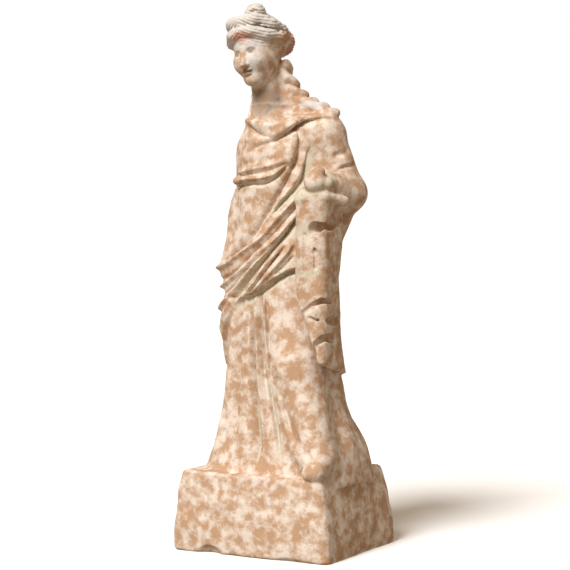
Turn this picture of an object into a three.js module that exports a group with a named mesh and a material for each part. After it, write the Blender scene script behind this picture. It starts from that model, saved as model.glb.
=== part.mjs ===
// A terracotta statuette of a standing woman in a long dress and a wide mantle, on a block base.
// Figure and base were pressed in one mould, so the part is one solid.
// Millimetres. X runs to her left, -Y is her front and Z is up. The origin is the middle of the underside.

import * as THREE from 'three';

const { clamp, lerp, degToRad, radToDeg } = THREE.MathUtils;

// Driving sizes. The base leans in towards its top, more on her left.
const BASE = { width: 77.6, depth: 67, height: 35, leanRight: 3.1, leanLeft: 5.5, corner: 3.2, rim: 1.6 };
const MANTLE_THICKNESS = 1.8;

// The clay is measured on a lattice, then its facets are merged where it is smooth
const LATTICE = { cell: 1.2, wide: 72, deep: 60, high: 204, block: 4, reach: 5 };
const FACETS = 9800;

// Where the figure's joints lie
const LEFT_SHOULDER = [18.5, 2, 182];
const LEFT_ELBOW = [28.8, 5, 157];
const LEFT_WRIST = [27, -14, 160];
const LEFT_FIST = [26.5, -21, 162];
const RIGHT_SHOULDER = [-14, 3, 176];
const RIGHT_ELBOW = [-20.5, 4, 148];
const RIGHT_HAND = [-24, -3, 124];
const LEFT_HIP = [5, -2, 118];
const LEFT_KNEE = [13, -12.5, 82];
const LEFT_HEEL = [27, -20, 43];
const LEFT_TOE = [31, -28.5, 39];
const NECK_FOOT = [-4.5, -1.5, 184];
const JAW = [-7.5, -4, 205];
const HEAD = { centre: [-9.8, -7, 219.5], turn: -8, tilt: -10, bow: 8 };

// The cloth as a column: how far it stands from the axis at each height
const STATIONS = [
  { z: 32, x: 2, y: 0, left: 35, right: 36.5, front: 26, back: 31, square: 3.4 },
  { z: 43, x: 2, y: 0, left: 33, right: 34, front: 23, back: 29, square: 3 },
  { z: 60, x: 1, y: 0, left: 27, right: 29.5, front: 20, back: 21.5, square: 2.6 },
  { z: 82, x: -1, y: 0, left: 25, right: 25.5, front: 18, back: 20, square: 2.5 },
  { z: 105, x: -2, y: 0, left: 23, right: 24.5, front: 17, back: 17.5, square: 2.4 },
  { z: 125, x: -3, y: 0, left: 21, right: 20.5, front: 15.5, back: 16, square: 2.3 },
  { z: 150, x: -3, y: 0, left: 17.5, right: 16, front: 12.8, back: 13.5, square: 2.2 },
  { z: 170, x: -3, y: 0, left: 16.5, right: 15, front: 12.2, back: 12, square: 2.1 },
  { z: 186, x: -4, y: -1, left: 12.5, right: 11, front: 8.5, back: 8.5, square: 2 },
  { z: 194, x: -6, y: -3, left: 6, right: 6, front: 5, back: 5, square: 2 },
];

// Distance fields: each gives how far a point lies outside a form

function ellipsoid(p, centre, radii) {
  const q = [0, 1, 2].map((k) => (p[k] - centre[k]) / radii[k]);
  const near = Math.hypot(q[0], q[1], q[2]);
  const slope = Math.hypot(q[0] / radii[0], q[1] / radii[1], q[2] / radii[2]);
  return slope < 1e-9 ? -Math.min(...radii) : (near * (near - 1)) / slope;
}

function limb(p, from, to, fromRadius, toRadius) {
  const axis = [to[0] - from[0], to[1] - from[1], to[2] - from[2]];
  const out = [p[0] - from[0], p[1] - from[1], p[2] - from[2]];
  const length2 = axis[0] ** 2 + axis[1] ** 2 + axis[2] ** 2;
  const t = clamp((out[0] * axis[0] + out[1] * axis[1] + out[2] * axis[2]) / length2, 0, 1);
  const off = Math.hypot(out[0] - t * axis[0], out[1] - t * axis[1], out[2] - t * axis[2]);
  return off - lerp(fromRadius, toRadius, t);
}

function strand(p, places, fromRadius, toRadius) {
  const last = places.length - 1;
  let d = Infinity;
  for (let i = 0; i < last; i += 1) {
    const radii = [i, i + 1].map((k) => lerp(fromRadius, toRadius, k / last));
    d = Math.min(d, limb(p, places[i], places[i + 1], ...radii));
  }
  return d;
}

function roundedBox(p, centre, half, radius) {
  const q = [0, 1, 2].map((k) => Math.abs(p[k] - centre[k]) - half[k] + radius);
  const outside = Math.hypot(Math.max(q[0], 0), Math.max(q[1], 0), Math.max(q[2], 0));
  return outside + Math.min(Math.max(...q), 0) - radius;
}

function join(a, b, softness) {
  const overlap = Math.max(softness - Math.abs(a - b), 0) / softness;
  return Math.min(a, b) - (overlap * overlap * softness) / 4;
}

function cut(a, tool, softness) {
  return -join(-a, tool, softness);
}

function smooth(low, high, value) {
  const t = clamp((value - low) / (high - low), 0, 1);
  return t * t * (3 - 2 * t);
}

// A smooth curve through places given as [x, y] in order of x, level beyond its ends
function through(places, x) {
  const last = places.length - 1;
  if (x <= places[0][0]) return places[0][1];
  if (x >= places[last][0]) return places[last][1];
  let i = 1;
  while (places[i][0] < x) i += 1;
  const [before, low, high, after] = [Math.max(i - 2, 0), i - 1, i, Math.min(i + 1, last)].map((k) => places[k]);
  const span = high[0] - low[0];
  const t = (x - low[0]) / span;
  const start = ((high[1] - before[1]) / (high[0] - before[0])) * span;
  const end = ((after[1] - low[1]) / (after[0] - low[0])) * span;
  const ease = t * t * (3 - 2 * t);
  return lerp(low[1], high[1], ease) + t * (1 - t) * ((1 - t) * start - t * end);
}

const SIZES = ['x', 'y', 'left', 'right', 'front', 'back', 'square'];
const profiles = SIZES.map((size) => STATIONS.map((station) => [station.z, station[size]]));

function stationAt(z) {
  const at = {};
  SIZES.forEach((size, k) => (at[size] = through(profiles[k], z)));
  return at;
}

function column(p, s) {
  const x = p[0] - s.x;
  const y = p[1] - s.y;
  const [reachX, reachY] = [x > 0 ? s.left : s.right, y > 0 ? s.back : s.front];
  const share = (Math.abs(x / reachX) ** s.square + Math.abs(y / reachY) ** s.square) ** (1 / s.square);
  return Math.max((share - 1) * Math.min(reachX, reachY), p[2] - STATIONS.at(-1).z);
}

// Folds of cloth. Each runs through places given as degrees round from her front and a height.
// It stands proud by its rise, or is cut in where the rise is negative, and falls away over two widths:
// the first below it, or to her right of an upright fold, and the second above it, or to her left.

// Along the cloth a degree is taken as this many millimetres
const DEGREE = 0.4;

const MANTLE_FOLDS = [
  // The rolls round the neck, hanging from shoulder to shoulder
  { path: [[-75, 190], [-25, 189], [0, 187.5], [32, 189], [79, 192]], rise: 1.4, widths: [1.4, 1.6] },
  { path: [[-62, 185], [-19, 180], [16, 179.5], [42, 182], [74, 188]], rise: 1.6, widths: [1.2, 2.6] },
  { path: [[-70, 183], [-19, 176.5], [16, 176.5], [42, 180], [74, 186]], rise: -1.3, widths: [1, 1] },
  // Creases drawn from the left shoulder across the breast
  { path: [[-50, 171], [-10, 173], [25, 177], [50, 182]], rise: 1, widths: [1.2, 2.4] },
  { path: [[-55, 164], [-9, 167], [35, 172], [54, 176]], rise: 1, widths: [1.1, 2.2] },
  // The girdle under the breast
  { path: [[-90, 161], [-49, 162], [-5, 165], [22, 168]], rise: 1.6, widths: [0.9, 1.8] },
  { path: [[-90, 158], [-40, 159.5], [-5, 162], [30, 166]], rise: -1.4, widths: [0.9, 0.9] },
  // The valley from the left shoulder to the right hip, and its soft upper edge
  { path: [[-66, 121], [-21, 134], [0, 144], [17, 153], [35, 160], [50, 172], [60, 184]], rise: -2.4, widths: [1.4, 2.4] },
  { path: [[-66, 126], [-25, 138], [-4, 148], [14, 158], [30, 168], [42, 182]], rise: 1.1, widths: [1.2, 3.5] },
  // Folds fanning from the left forearm to the right hip
  { path: [[-76, 127], [-45, 132], [1, 143], [40, 155], [60, 164]], rise: 1.6, widths: [1.3, 1.6] },
  { path: [[-85, 119], [-46, 126], [-6, 135], [29, 145], [60, 158]], rise: 1.8, widths: [1.3, 1.5] },
  { path: [[-80, 113], [-50, 119], [-18, 128], [15, 138], [45, 149]], rise: 1.8, widths: [1.3, 1.5] },
  { path: [[-75, 106], [-45, 114], [-20, 121], [10, 132], [40, 144]], rise: 1.6, widths: [1.2, 1.3] },
  { path: [[-42, 110], [-32, 114], [-13, 123], [11, 130], [33, 137], [55, 148]], rise: -2.6, widths: [1.3, 1.3] },
  { path: [[-32, 111], [-12, 118], [12, 125], [35, 132], [48, 138]], rise: 1.7, widths: [1.3, 1.3] },
  { path: [[-14, 115], [12, 121.5], [35, 128], [48, 134]], rise: -1.3, widths: [0.9, 0.9] },
  // Nested loops hanging at the right hip, and the fall of cloth below them
  { path: [[-115, 130], [-100, 124], [-85, 123], [-72, 127]], rise: 0.8, widths: [1, 1.3] },
  { path: [[-120, 123], [-100, 116], [-82, 116], [-68, 121]], rise: 0.8, widths: [1, 1.3] },
];

// The mantle's lower edge: high across the front, falling steeply at her right, level round the back
const HEM = [
  [-180, 78], [-110, 78], [-84, 79], [-76, 84], [-70, 92], [-60, 102], [-40, 110], [-9, 113.5],
  [12, 117], [28, 120.5], [46, 124], [60, 122], [75, 95], [90, 79], [180, 78],
];

// The dress below it falls in upright pleats
const DRESS_FOLDS = [
  { path: [[46, -55], [69, -52], [107, -42]], rise: 1.4, widths: [2.2, 2.2] },
  { path: [[45, -44], [69, -38], [107, -32]], rise: -1.4, widths: [1.2, 1.2] },
  { path: [[46, -25], [69, -26], [107, -25]], rise: 1.3, widths: [2, 2] },
  { path: [[40, -8], [49, -7], [58, -10], [70, -12], [80, -13], [108, -17]], rise: -2.4, widths: [1.3, 1.3] },
  { path: [[44, 5], [70, -3], [90, -5], [110, -8]], rise: 1.6, widths: [1.6, 1.6] },
  { path: [[44, 20], [53, 17], [64, 12], [80, 6], [92, 2], [108, -1]], rise: -2.2, widths: [1.3, 1.3] },
  { path: [[84, 9], [92, 7], [100, 6], [110, 6]], rise: 1, widths: [1, 1] },
  { path: [[80, 15], [92, 11], [112, 9]], rise: -1.1, widths: [0.9, 0.9] },
  { path: [[40, 36], [52, 28], [66, 23]], rise: 1.2, widths: [2, 2] },
];

// Behind, where the mould was simple, there are only broad shallow pleats
const BACK_PLEATS = { count: 6, from: 100, to: 250, spread: 1.12, rise: 0.9, width: 3.6 };
for (let i = 0; i < BACK_PLEATS.count; i += 1) {
  const { count, from, to, spread, rise, width } = BACK_PLEATS;
  const turn = lerp(from, to, i / (count - 1)) - 180;
  const wrap = (degrees) => (degrees > 0 ? degrees - 180 : degrees + 180);
  DRESS_FOLDS.push({ path: [[44, wrap(turn * spread)], [76, wrap(turn)]], rise, widths: [width, width] });
}

function foldHeight({ path, rise, widths }, along, across, unitAlong, unitAcross) {
  const [first, last] = [path[0][0], path.at(-1)[0]];
  const fade = (last - first) * 0.15;
  const share = smooth(first - fade, first + fade, along) * smooth(-last - fade, -last + fade, -along);
  if (share <= 0) return 0;
  const line = through(path, along);
  const slope = ((through(path, along + 1) - through(path, along - 1)) / 2) * (unitAcross / unitAlong);
  const off = ((across - line) * unitAcross) / Math.hypot(1, slope);
  return rise * share * Math.exp(-((off / widths[off < 0 ? 0 : 1]) ** 2));
}

function relief(p, s) {
  const degrees = radToDeg(Math.atan2(p[0] - s.x, -(p[1] - s.y)));
  const z = p[2];
  const hem = through(HEM, degrees);
  const slope = ((through(HEM, degrees + 1) - through(HEM, degrees - 1)) / 2) / DEGREE;
  const above = (z - hem) / Math.hypot(1, slope);
  const mantle = smooth(-0.4, 0.8, above);
  let height = mantle * MANTLE_THICKNESS;
  if (mantle > 0) {
    let folds = 0;
    for (const fold of MANTLE_FOLDS) folds += foldHeight(fold, degrees, z, DEGREE, 1);
    height += mantle * folds;
  }
  if (mantle < 1) {
    let folds = 0;
    for (const fold of DRESS_FOLDS) folds += foldHeight(fold, z, degrees, 1, DEGREE);
    height += (1 - mantle) * folds;
  }
  return height;
}

// The mantle's end, hanging in front of her left side, with the hollows of its stepped hem

const CASCADE = { centre: [22.5, -10.7, 109], half: [6.3, 11.1, 38], edge: 4 };
const CASCADE_RIM = { corner: [28, -20, 86], across: 2.6, back: 0.25 };
const CASCADE_HOLLOWS = [
  { path: [[22, -23, 104], [22.5, -23, 109], [26, -22.5, 112], [29.5, -19, 113.5], [30, -11, 112.5]], radii: [1, 1.8] },
  { path: [[24, -22.5, 105.5], [29.5, -19, 104.5], [30, -10, 103]], radii: [0.8, 2.4] },
  { path: [[26.5, -22.5, 93], [27, -22, 98], [30, -17, 100], [30, -11, 98]], radii: [1.2, 2.6] },
];
const CASCADE_GROOVES = [
  { path: [[23.5, -22.5, 141], [23, -22.5, 116]], radii: [0.9, 0.7] },
  { path: [[28.5, -21.5, 137], [29, -21, 124]], radii: [0.9, 0.7] },
  { path: [[29.5, -13, 140], [29.5, -12, 118]], radii: [0.8, 0.6] },
];

function cascade(p) {
  const { centre, half, edge } = CASCADE;
  let d = roundedBox(p, centre, half, edge);
  const { corner, across, back } = CASCADE_RIM;
  const rim = corner[2] + across * Math.max(corner[0] - p[0], 0) - back * (p[1] - corner[1]);
  d = cut(d, (p[2] - rim) / Math.hypot(1, across / 2), 1.5);
  for (const { path, radii } of [...CASCADE_HOLLOWS, ...CASCADE_GROOVES]) d = cut(d, strand(p, path, ...radii), 0.8);
  return d;
}

// Her left arm, wrapped in the mantle to the fist, with the creases of the bent elbow

const ARM_CREASES = [
  { path: [[21, -8.5, 181.5], [24, -6, 184.5], [30, 2, 186.5]], radii: [0.8, 1] },
  { path: [[23, -7.5, 171], [28, -4.5, 173], [32.5, 3, 177]], radii: [1.6, 2] },
  { path: [[26.5, -6, 167], [31, 1, 169.5], [34, 8, 170.5]], radii: [0.8, 0.9] },
];

function leftArm(p) {
  let d = limb(p, LEFT_SHOULDER, LEFT_ELBOW, 9, 7.3);
  d = join(d, limb(p, [15, -1, 178], [19, -1, 148], 6, 7), 4);
  d = join(d, limb(p, LEFT_ELBOW, [19, 6, 132], 6, 4), 3);
  d = join(d, limb(p, LEFT_ELBOW, LEFT_WRIST, 7.5, 6), 4);
  d = join(d, limb(p, LEFT_ELBOW, [24, -18, 151], 6, 4.5), 4);
  for (const { path, radii } of ARM_CREASES) d = cut(d, strand(p, path, ...radii), 1.2);
  d = join(d, ellipsoid(p, LEFT_FIST, [4.8, 5, 5.2]), 1.5);
  return d;
}

function figure(p) {
  const s = stationAt(p[2]);
  let d = column(p, s);
  d = join(d, limb(p, LEFT_SHOULDER, RIGHT_SHOULDER, 8, 6.5), 8);
  d = join(d, limb(p, RIGHT_SHOULDER, RIGHT_ELBOW, 6.5, 6), 6);
  d = join(d, limb(p, RIGHT_ELBOW, RIGHT_HAND, 6, 4.5), 6);
  d = join(d, limb(p, LEFT_HIP, LEFT_KNEE, 13, 9), 6);
  d = join(d, limb(p, LEFT_KNEE, LEFT_HEEL, 9, 8), 6);
  d = join(d, limb(p, LEFT_HEEL, LEFT_TOE, 7, 4), 3);
  d -= relief(p, s);
  d = join(d, cascade(p), 2);
  d = join(d, leftArm(p), 2);
  return cut(d, limb(p, [30, -20, 144.5], [31, -8, 146.5], 3.4, 3), 1.5);
}

// The head, in its own frame: X to her left, -Y forward, Z up, with the chin 15 below the centre

const headFrame = new THREE.Matrix4()
  .makeRotationZ(degToRad(HEAD.turn))
  .multiply(new THREE.Matrix4().makeRotationY(degToRad(HEAD.tilt)))
  .multiply(new THREE.Matrix4().makeRotationX(degToRad(HEAD.bow)))
  .setPosition(...HEAD.centre)
  .invert().elements;

function face(q) {
  const side = [Math.abs(q[0]), q[1], q[2]];
  let d = ellipsoid(q, [0, 1.5, 2.5], [9.8, 11.8, 12]);
  d = join(d, ellipsoid(q, [0, -2.5, -4.5], [8.2, 9, 10.6]), 4);
  d = join(d, ellipsoid(q, [0, -8, -12], [3.8, 3.5, 3.2]), 3);
  d = join(d, ellipsoid(side, [4.2, -7.4, -4.2], [3.6, 3.6, 3.6]), 3);
  d = cut(d, ellipsoid(side, [3.9, -12.6, 0.4], [3, 2.6, 1.8]), 1.5);
  d = join(d, ellipsoid(side, [3.8, -9.4, 0], [2, 1.5, 1.2]), 0.6);
  d = join(d, limb(q, [0, -10.6, 1.5], [0, -13, -5.2], 1.1, 1.7), 1.4);
  return join(d, ellipsoid(q, [0, -11, -8.4], [2.6, 1.3, 1.6]), 1);
}

// Her hair is swept back from a parting in two thick waves to a knot behind, with a tuft on the crown
const WAVES = [
  { path: [[0, -9.4, 9.2], [5, -8.8, 8.6], [9.4, -4.5, 5.8], [11, 3, 4], [8, 11, 3]], radii: [2.4, 2.8] },
  { path: [[0, -7.2, 13.2], [6.2, -5.4, 13.6], [10.2, 0, 9.6], [9.5, 8, 6.5]], radii: [3, 2.8] },
];

function hair(q) {
  const side = [Math.abs(q[0]), q[1], q[2]];
  let d = ellipsoid(q, [0, 3, 4.5], [11.6, 13.4, 12]);
  for (const { path, radii } of WAVES) d = join(d, strand(side, path, ...radii), 1);
  d = join(d, ellipsoid(q, [2.5, 1, 16.6], [4.6, 4.6, 4]), 2);
  return join(d, ellipsoid(q, [1, 17.5, 2.5], [6, 6.2, 6.4]), 2);
}

function head(p) {
  const m = headFrame;
  const q = [0, 1, 2].map((k) => m[k] * p[0] + m[k + 4] * p[1] + m[k + 8] * p[2] + m[k + 12]);
  return join(face(q), hair(q), 0.8);
}

// Twisted locks hanging to the shoulders, each a string of beads of clay along a curve
const LOCKS = [
  { path: [[-1, -0.5, 213.5], [2.5, 1.5, 204], [8, 2.5, 198], [15, 2, 195], [22, 2.5, 191.5]], beads: 9, radius: 2.7, swell: 1.1 },
  { path: [[-14, 3, 212], [-15, 2, 203], [-16, 1.5, 196], [-16.5, -0.5, 190]], beads: 8, radius: 2.1, swell: 0.3 },
].map(({ path, beads, radius, swell }) => {
  const curve = new THREE.CatmullRomCurve3(path.map((v) => new THREE.Vector3(...v)));
  return curve.getSpacedPoints(beads - 1).map((v, i) =>
    ({ at: v.toArray(), radius: radius + swell * Math.sin((Math.PI * i) / (beads - 1)) }));
});

function locks(p) {
  let d = Infinity;
  for (const { at, radius } of LOCKS.flat()) {
    d = Math.min(d, Math.hypot(p[0] - at[0], p[1] - at[1], p[2] - at[2]) - radius);
  }
  return d;
}

// Knocks along the base's edges
const CHIPS = [
  { centre: [-19, -34, -1], radii: [6, 3.5, 4.5] },
  { centre: [20, -34.5, -1], radii: [8, 2.5, 2.5] },
  { centre: [39.5, 5, -1], radii: [2.5, 9, 3] },
  { centre: [39.5, -34, 34], radii: [5, 5, 6] },
];

function base(p) {
  const rise = (p[2] / BASE.height) ** 2;
  const [leanRight, leanLeft] = [BASE.leanRight * rise, BASE.leanLeft * rise];
  const x = Math.abs(p[0] - (leanRight - leanLeft) / 2) - (BASE.width - leanRight - leanLeft) / 2;
  const y = Math.abs(p[1]) - BASE.depth / 2 + leanRight;
  const [u, v] = [x + BASE.corner, y + BASE.corner];
  const plan = Math.hypot(Math.max(u, 0), Math.max(v, 0)) + Math.min(Math.max(u, v), 0) - BASE.corner;
  const level = Math.abs(p[2] - BASE.height / 2) - BASE.height / 2;
  const [m, n] = [plan + BASE.rim, level + BASE.rim];
  let d = Math.hypot(Math.max(m, 0), Math.max(n, 0)) + Math.min(Math.max(m, n), 0) - BASE.rim;
  for (const { centre, radii } of CHIPS) d = cut(d, ellipsoid(p, centre, radii), 1);
  return d;
}

function clay(p) {
  let d = p[2] > 30 && p[2] < 200 ? figure(p) : 50;
  if (p[2] > 175) {
    d = join(d, limb(p, NECK_FOOT, JAW, 7, 6.5), 2);
    d = join(d, strand(p, [[-5, 0, 211], [-2, 1, 202], [4, 2, 194], [13, 3, 189]], 5, 5), 2);
    d = join(d, limb(p, [-13, 1, 209], [-13.5, 0.5, 190], 3, 3), 2);
    d = join(d, head(p), 1);
    d = join(d, locks(p), 1);
  }
  return p[2] < 60 ? join(d, base(p), 1.5) : d;
}

// The surface of the clay. Each cell of the lattice that the surface crosses gets a vertex for each sheet
// of surface in it, midway between the cuts on its edges.

const counts = [LATTICE.wide, LATTICE.deep, LATTICE.high];
const STEPS = [1, counts[0], counts[0] * counts[1]];
const place = (n) => [
  ((n % STEPS[1]) - counts[0] / 2 + 0.5) * LATTICE.cell,
  ((Math.floor(n / STEPS[1]) % counts[1]) - counts[1] / 2 + 0.5) * LATTICE.cell,
  (Math.floor(n / STEPS[2]) - 0.5) * LATTICE.cell,
];
const depths = new Float64Array(STEPS[2] * counts[2]);

// Well away from the surface, the depth in the middle of a block of the lattice stands for all of it
function sampleBlock(corner) {
  const { cell, block, reach } = LATTICE;
  const middle = clay(place(corner).map((v) => v + (block / 2) * cell));
  for (let i = 0; i < block ** 3; i += 1) {
    const n = corner + (i % block) + (Math.floor(i / block) % block) * STEPS[1] + Math.floor(i / block ** 2) * STEPS[2];
    depths[n] = Math.abs(middle) > reach ? middle : clay(place(n));
  }
}

for (let k = 0; k < counts[2]; k += LATTICE.block) {
  for (let j = 0; j < counts[1]; j += LATTICE.block) {
    for (let i = 0; i < counts[0]; i += LATTICE.block) sampleBlock(i + j * STEPS[1] + k * STEPS[2]);
  }
}


// A cell's corners are numbered by bits: 1 for a step along X, 2 along Y and 4 along Z
const TURNS = [[0, 1, 2], [1, 2, 0], [2, 0, 1]];
const stepTo = (bits) => STEPS.reduce((sum, step, k) => sum + ((bits >> k) & 1) * step, 0);
const CORNERS = [0, 1, 2, 3, 4, 5, 6, 7].map(stepTo);
const SIDES = TURNS.flatMap(([k, u, v]) =>
  [0, 1 << k].map((side) => [0, 1 << u, (1 << u) | (1 << v), 1 << v].map((bits) => bits | side)));
const edgeBetween = (a, b) => Math.min(a, b) * 8 + Math.max(a, b);

function cutBetween(a, b) {
  const [from, to] = [place(a), place(b)];
  return from.map((v, k) => lerp(v, to[k], depths[a] / (depths[a] - depths[b])));
}

// Moves a vertex onto the surface, straight down the slope of the distance
function settle(vertex) {
  const d = clay(vertex);
  const reach = 0.05;
  const slope = [0, 1, 2].map((k) => (clay(vertex.with(k, vertex[k] + reach)) - d) / reach);
  const steepness = Math.max(Math.hypot(...slope), 0.3);
  const move = clamp(d / steepness, -LATTICE.cell / 3, LATTICE.cell / 3) / steepness;
  return vertex.map((v, k) => v - move * slope[k]);
}

const points = [];
const sheetAt = new Map();

function fillCell(cell) {
  const inside = CORNERS.map((step) => depths[cell + step] < 0);
  if (inside.every((v) => v === inside[0])) return;
  const leader = new Map();
  const lead = (edge) => (leader.get(edge) === edge ? edge : lead(leader.get(edge)));
  const tie = (a, b) => leader.set(lead(a), lead(b));
  for (const side of SIDES) {
    const edges = side.map((c, n) => edgeBetween(c, side[(n + 1) % 4]));
    const cuts = [0, 1, 2, 3].filter((n) => inside[side[n]] !== inside[side[(n + 1) % 4]]);
    for (const n of cuts) if (!leader.has(edges[n])) leader.set(edges[n], edges[n]);
    if (cuts.length === 2) tie(edges[cuts[0]], edges[cuts[1]]);
    if (cuts.length === 4) for (const n of cuts) if (inside[side[n]]) tie(edges[n], edges[(n + 3) % 4]);
  }
  for (const edges of Map.groupBy(leader.keys(), lead).values()) {
    const cuts = edges.map((edge) => cutBetween(cell + CORNERS[edge >> 3], cell + CORNERS[edge & 7]));
    for (const edge of edges) sheetAt.set(cell * 64 + edge, points.length);
    points.push(settle(settle([0, 1, 2].map((k) => cuts.reduce((sum, c) => sum + c[k], 0) / cuts.length))));
  }
}

const inLattice = (n) => n % STEPS[1] < counts[0] - 1 && Math.floor(n / STEPS[1]) % counts[1] < counts[1] - 1;
for (let cell = 0; cell < depths.length - STEPS[2]; cell += 1) if (inLattice(cell)) fillCell(cell);

const triangles = [];
for (let n = 0; n < depths.length - STEPS[2]; n += 1) {
  for (const [k, u, v] of TURNS) {
    if (depths[n] < 0 === depths[n + STEPS[k]] < 0) continue;
    const around = [0, 1 << u, (1 << u) | (1 << v), 1 << v];
    const quad = around.map((bits) => sheetAt.get((n - CORNERS[bits]) * 64 + edgeBetween(bits, bits | (1 << k))));
    const [a, b, c, d] = depths[n] < 0 ? quad : quad.reverse();
    triangles.push([a, b, c], [a, c, d]);
  }
}

// Facets are merged by closing up edges, those that change the surface least first. A vertex's strain is
// the sum of squared distances to the planes it has stood for, as a quadratic form of ten numbers.

const cross = (a, b) => [a[1] * b[2] - a[2] * b[1], a[2] * b[0] - a[0] * b[2], a[0] * b[1] - a[1] * b[0]];
const normalOf = ([a, b, c]) => cross(b.map((v, k) => v - a[k]), c.map((v, k) => v - a[k]));

function planeStrain(triangle) {
  const normal = normalOf(triangle.map((v) => points[v]));
  const area = Math.hypot(...normal);
  const [x, y, z] = normal.map((v) => v / (area || 1));
  const w = -(x * points[triangle[0]][0] + y * points[triangle[0]][1] + z * points[triangle[0]][2]);
  return [x * x, x * y, x * z, x * w, y * y, y * z, y * w, z * z, z * w, w * w].map((v) => v * area);
}

function strainAt(q, [x, y, z]) {
  return q[0] * x * x + q[4] * y * y + q[7] * z * z + q[9]
    + 2 * (q[1] * x * y + q[2] * x * z + q[5] * y * z + q[3] * x + q[6] * y + q[8] * z);
}

const strains = points.map(() => new Array(10).fill(1e-9));
const fans = points.map(() => new Set());
triangles.forEach((triangle, t) => {
  const strain = planeStrain(triangle);
  for (const v of triangle) {
    fans[v].add(t);
    strain.forEach((value, k) => (strains[v][k] += value));
  }
});

// The place for a closed edge: where the strain is least, or else its better end or its middle
function bestPlace(a, b) {
  const q = strains[a].map((value, k) => value + strains[b][k]);
  const [rowX, rowY, rowZ] = [[q[0], q[1], q[2]], [q[1], q[4], q[5]], [q[2], q[5], q[7]]];
  const minors = cross(rowY, rowZ);
  const size = rowX[0] * minors[0] + rowX[1] * minors[1] + rowX[2] * minors[2];
  const middle = points[a].map((v, k) => (v + points[b][k]) / 2);
  const choices = [points[a], points[b], middle];
  if (Math.abs(size) > 1e-3 * q[0] * q[4] * q[7]) {
    const away = [q[3], q[6], q[8]];
    const solved = [minors, cross(rowZ, rowX), cross(rowX, rowY)];
    choices.push([0, 1, 2].map((k) => -(away[0] * solved[0][k] + away[1] * solved[1][k] + away[2] * solved[2][k]) / size));
  }
  const costs = choices.map((choice) => strainAt(q, choice));
  const best = costs.indexOf(Math.min(...costs));
  return { at: choices[best], cost: costs[best] };
}

const ringOf = (v) => new Set([...fans[v]].flatMap((t) => triangles[t]));

// Facets keep their facing and don't turn to slivers when a vertex moves
function staysSound(v, other, at) {
  return [...fans[v]].every((t) => {
    if (triangles[t].includes(other)) return true;
    const before = normalOf(triangles[t].map((k) => points[k]));
    const places = triangles[t].map((k) => (k === v ? at : points[k]));
    const after = normalOf(places);
    const [was, is] = [Math.hypot(...before), Math.hypot(...after)];
    const longest = Math.max(...places.map((p, k) => Math.hypot(...p.map((value, m) => value - places[(k + 1) % 3][m]))));
    const turned = before[0] * after[0] + before[1] * after[1] + before[2] * after[2];
    return turned > 0.3 * was * is && is > 0.06 * longest ** 2;
  });
}

function closeUp(a, b, at) {
  const shared = [...fans[a]].filter((t) => fans[b].has(t));
  const neighbours = ringOf(a).intersection(ringOf(b));
  if (shared.length !== 2 || neighbours.size !== 4) return false;
  if (!staysSound(a, b, at) || !staysSound(b, a, at)) return false;
  points[a] = at;
  strains[a] = strains[a].map((value, k) => value + strains[b][k]);
  for (const t of shared) {
    for (const v of triangles[t]) fans[v].delete(t);
    triangles[t] = null;
  }
  for (const t of fans[b]) {
    triangles[t] = triangles[t].map((v) => (v === b ? a : v));
    fans[a].add(t);
  }
  return true;
}

let left = triangles.length;
for (let limit = 1e-4; left > FACETS; limit *= 1.5) {
  for (let t = 0; t < triangles.length && left > FACETS; t += 1) {
    for (let n = 0; n < 3 && triangles[t]; n += 1) {
      const [a, b] = [triangles[t][n], triangles[t][(n + 1) % 3]];
      const { at, cost } = bestPlace(a, b);
      if (cost < limit && closeUp(a, b, at)) left -= 2;
    }
  }
}

const faces = triangles.filter((triangle) => triangle);
const used = [...new Set(faces.flat())];
const numberOf = new Map(used.map((v, k) => [v, k]));
const flat = used.flatMap((v) => [points[v][0], points[v][1], Math.abs(points[v][2]) < 0.02 ? 0 : points[v][2]]);

const geometry = new THREE.BufferGeometry();
geometry.setAttribute('position', new THREE.Float32BufferAttribute(flat, 3));
geometry.setIndex(faces.flat().map((v) => numberOf.get(v)));
geometry.computeVertexNormals();

const terracotta = new THREE.MeshStandardMaterial({ color: 0xdcb497, roughness: 0.9, metalness: 0 });
const statuette = new THREE.Mesh(geometry, terracotta);
statuette.name = 'statuette';

const model = new THREE.Group();
model.add(statuette);

export default model;
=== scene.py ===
import math

import bpy
import numpy as np
import openvdb
from mathutils import Matrix, Vector


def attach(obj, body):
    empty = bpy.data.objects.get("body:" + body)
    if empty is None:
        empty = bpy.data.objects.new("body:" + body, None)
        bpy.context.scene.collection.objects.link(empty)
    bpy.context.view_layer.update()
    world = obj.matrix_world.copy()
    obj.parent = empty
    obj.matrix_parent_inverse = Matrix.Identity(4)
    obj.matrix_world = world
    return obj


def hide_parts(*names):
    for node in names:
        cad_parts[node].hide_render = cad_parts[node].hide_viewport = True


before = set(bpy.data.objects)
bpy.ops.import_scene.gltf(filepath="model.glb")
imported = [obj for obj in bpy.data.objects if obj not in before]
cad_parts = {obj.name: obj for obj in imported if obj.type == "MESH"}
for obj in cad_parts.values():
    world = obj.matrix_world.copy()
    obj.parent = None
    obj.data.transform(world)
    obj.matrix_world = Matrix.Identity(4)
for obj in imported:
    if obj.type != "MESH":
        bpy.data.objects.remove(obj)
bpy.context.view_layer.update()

# ## The clay
# The statuette was pressed in a mould from damp clay and touched up with a tool, so cloth, arms, head and base
# are one skin. It is worked out in millimetres as a depth: how far a point lies outside the clay.
# Places are (x, y, z): x to her left, -y to her front, z up from the middle of the underside.


def ball(p, centre, radii):
    away = [(p[k] - centre[k]) / radii[k] for k in range(3)]
    near = np.sqrt(away[0] ** 2 + away[1] ** 2 + away[2] ** 2)
    slope = np.sqrt((away[0] / radii[0]) ** 2 + (away[1] / radii[1]) ** 2 + (away[2] / radii[2]) ** 2)
    return near * (near - 1) / np.maximum(slope, 1e-6)


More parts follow.
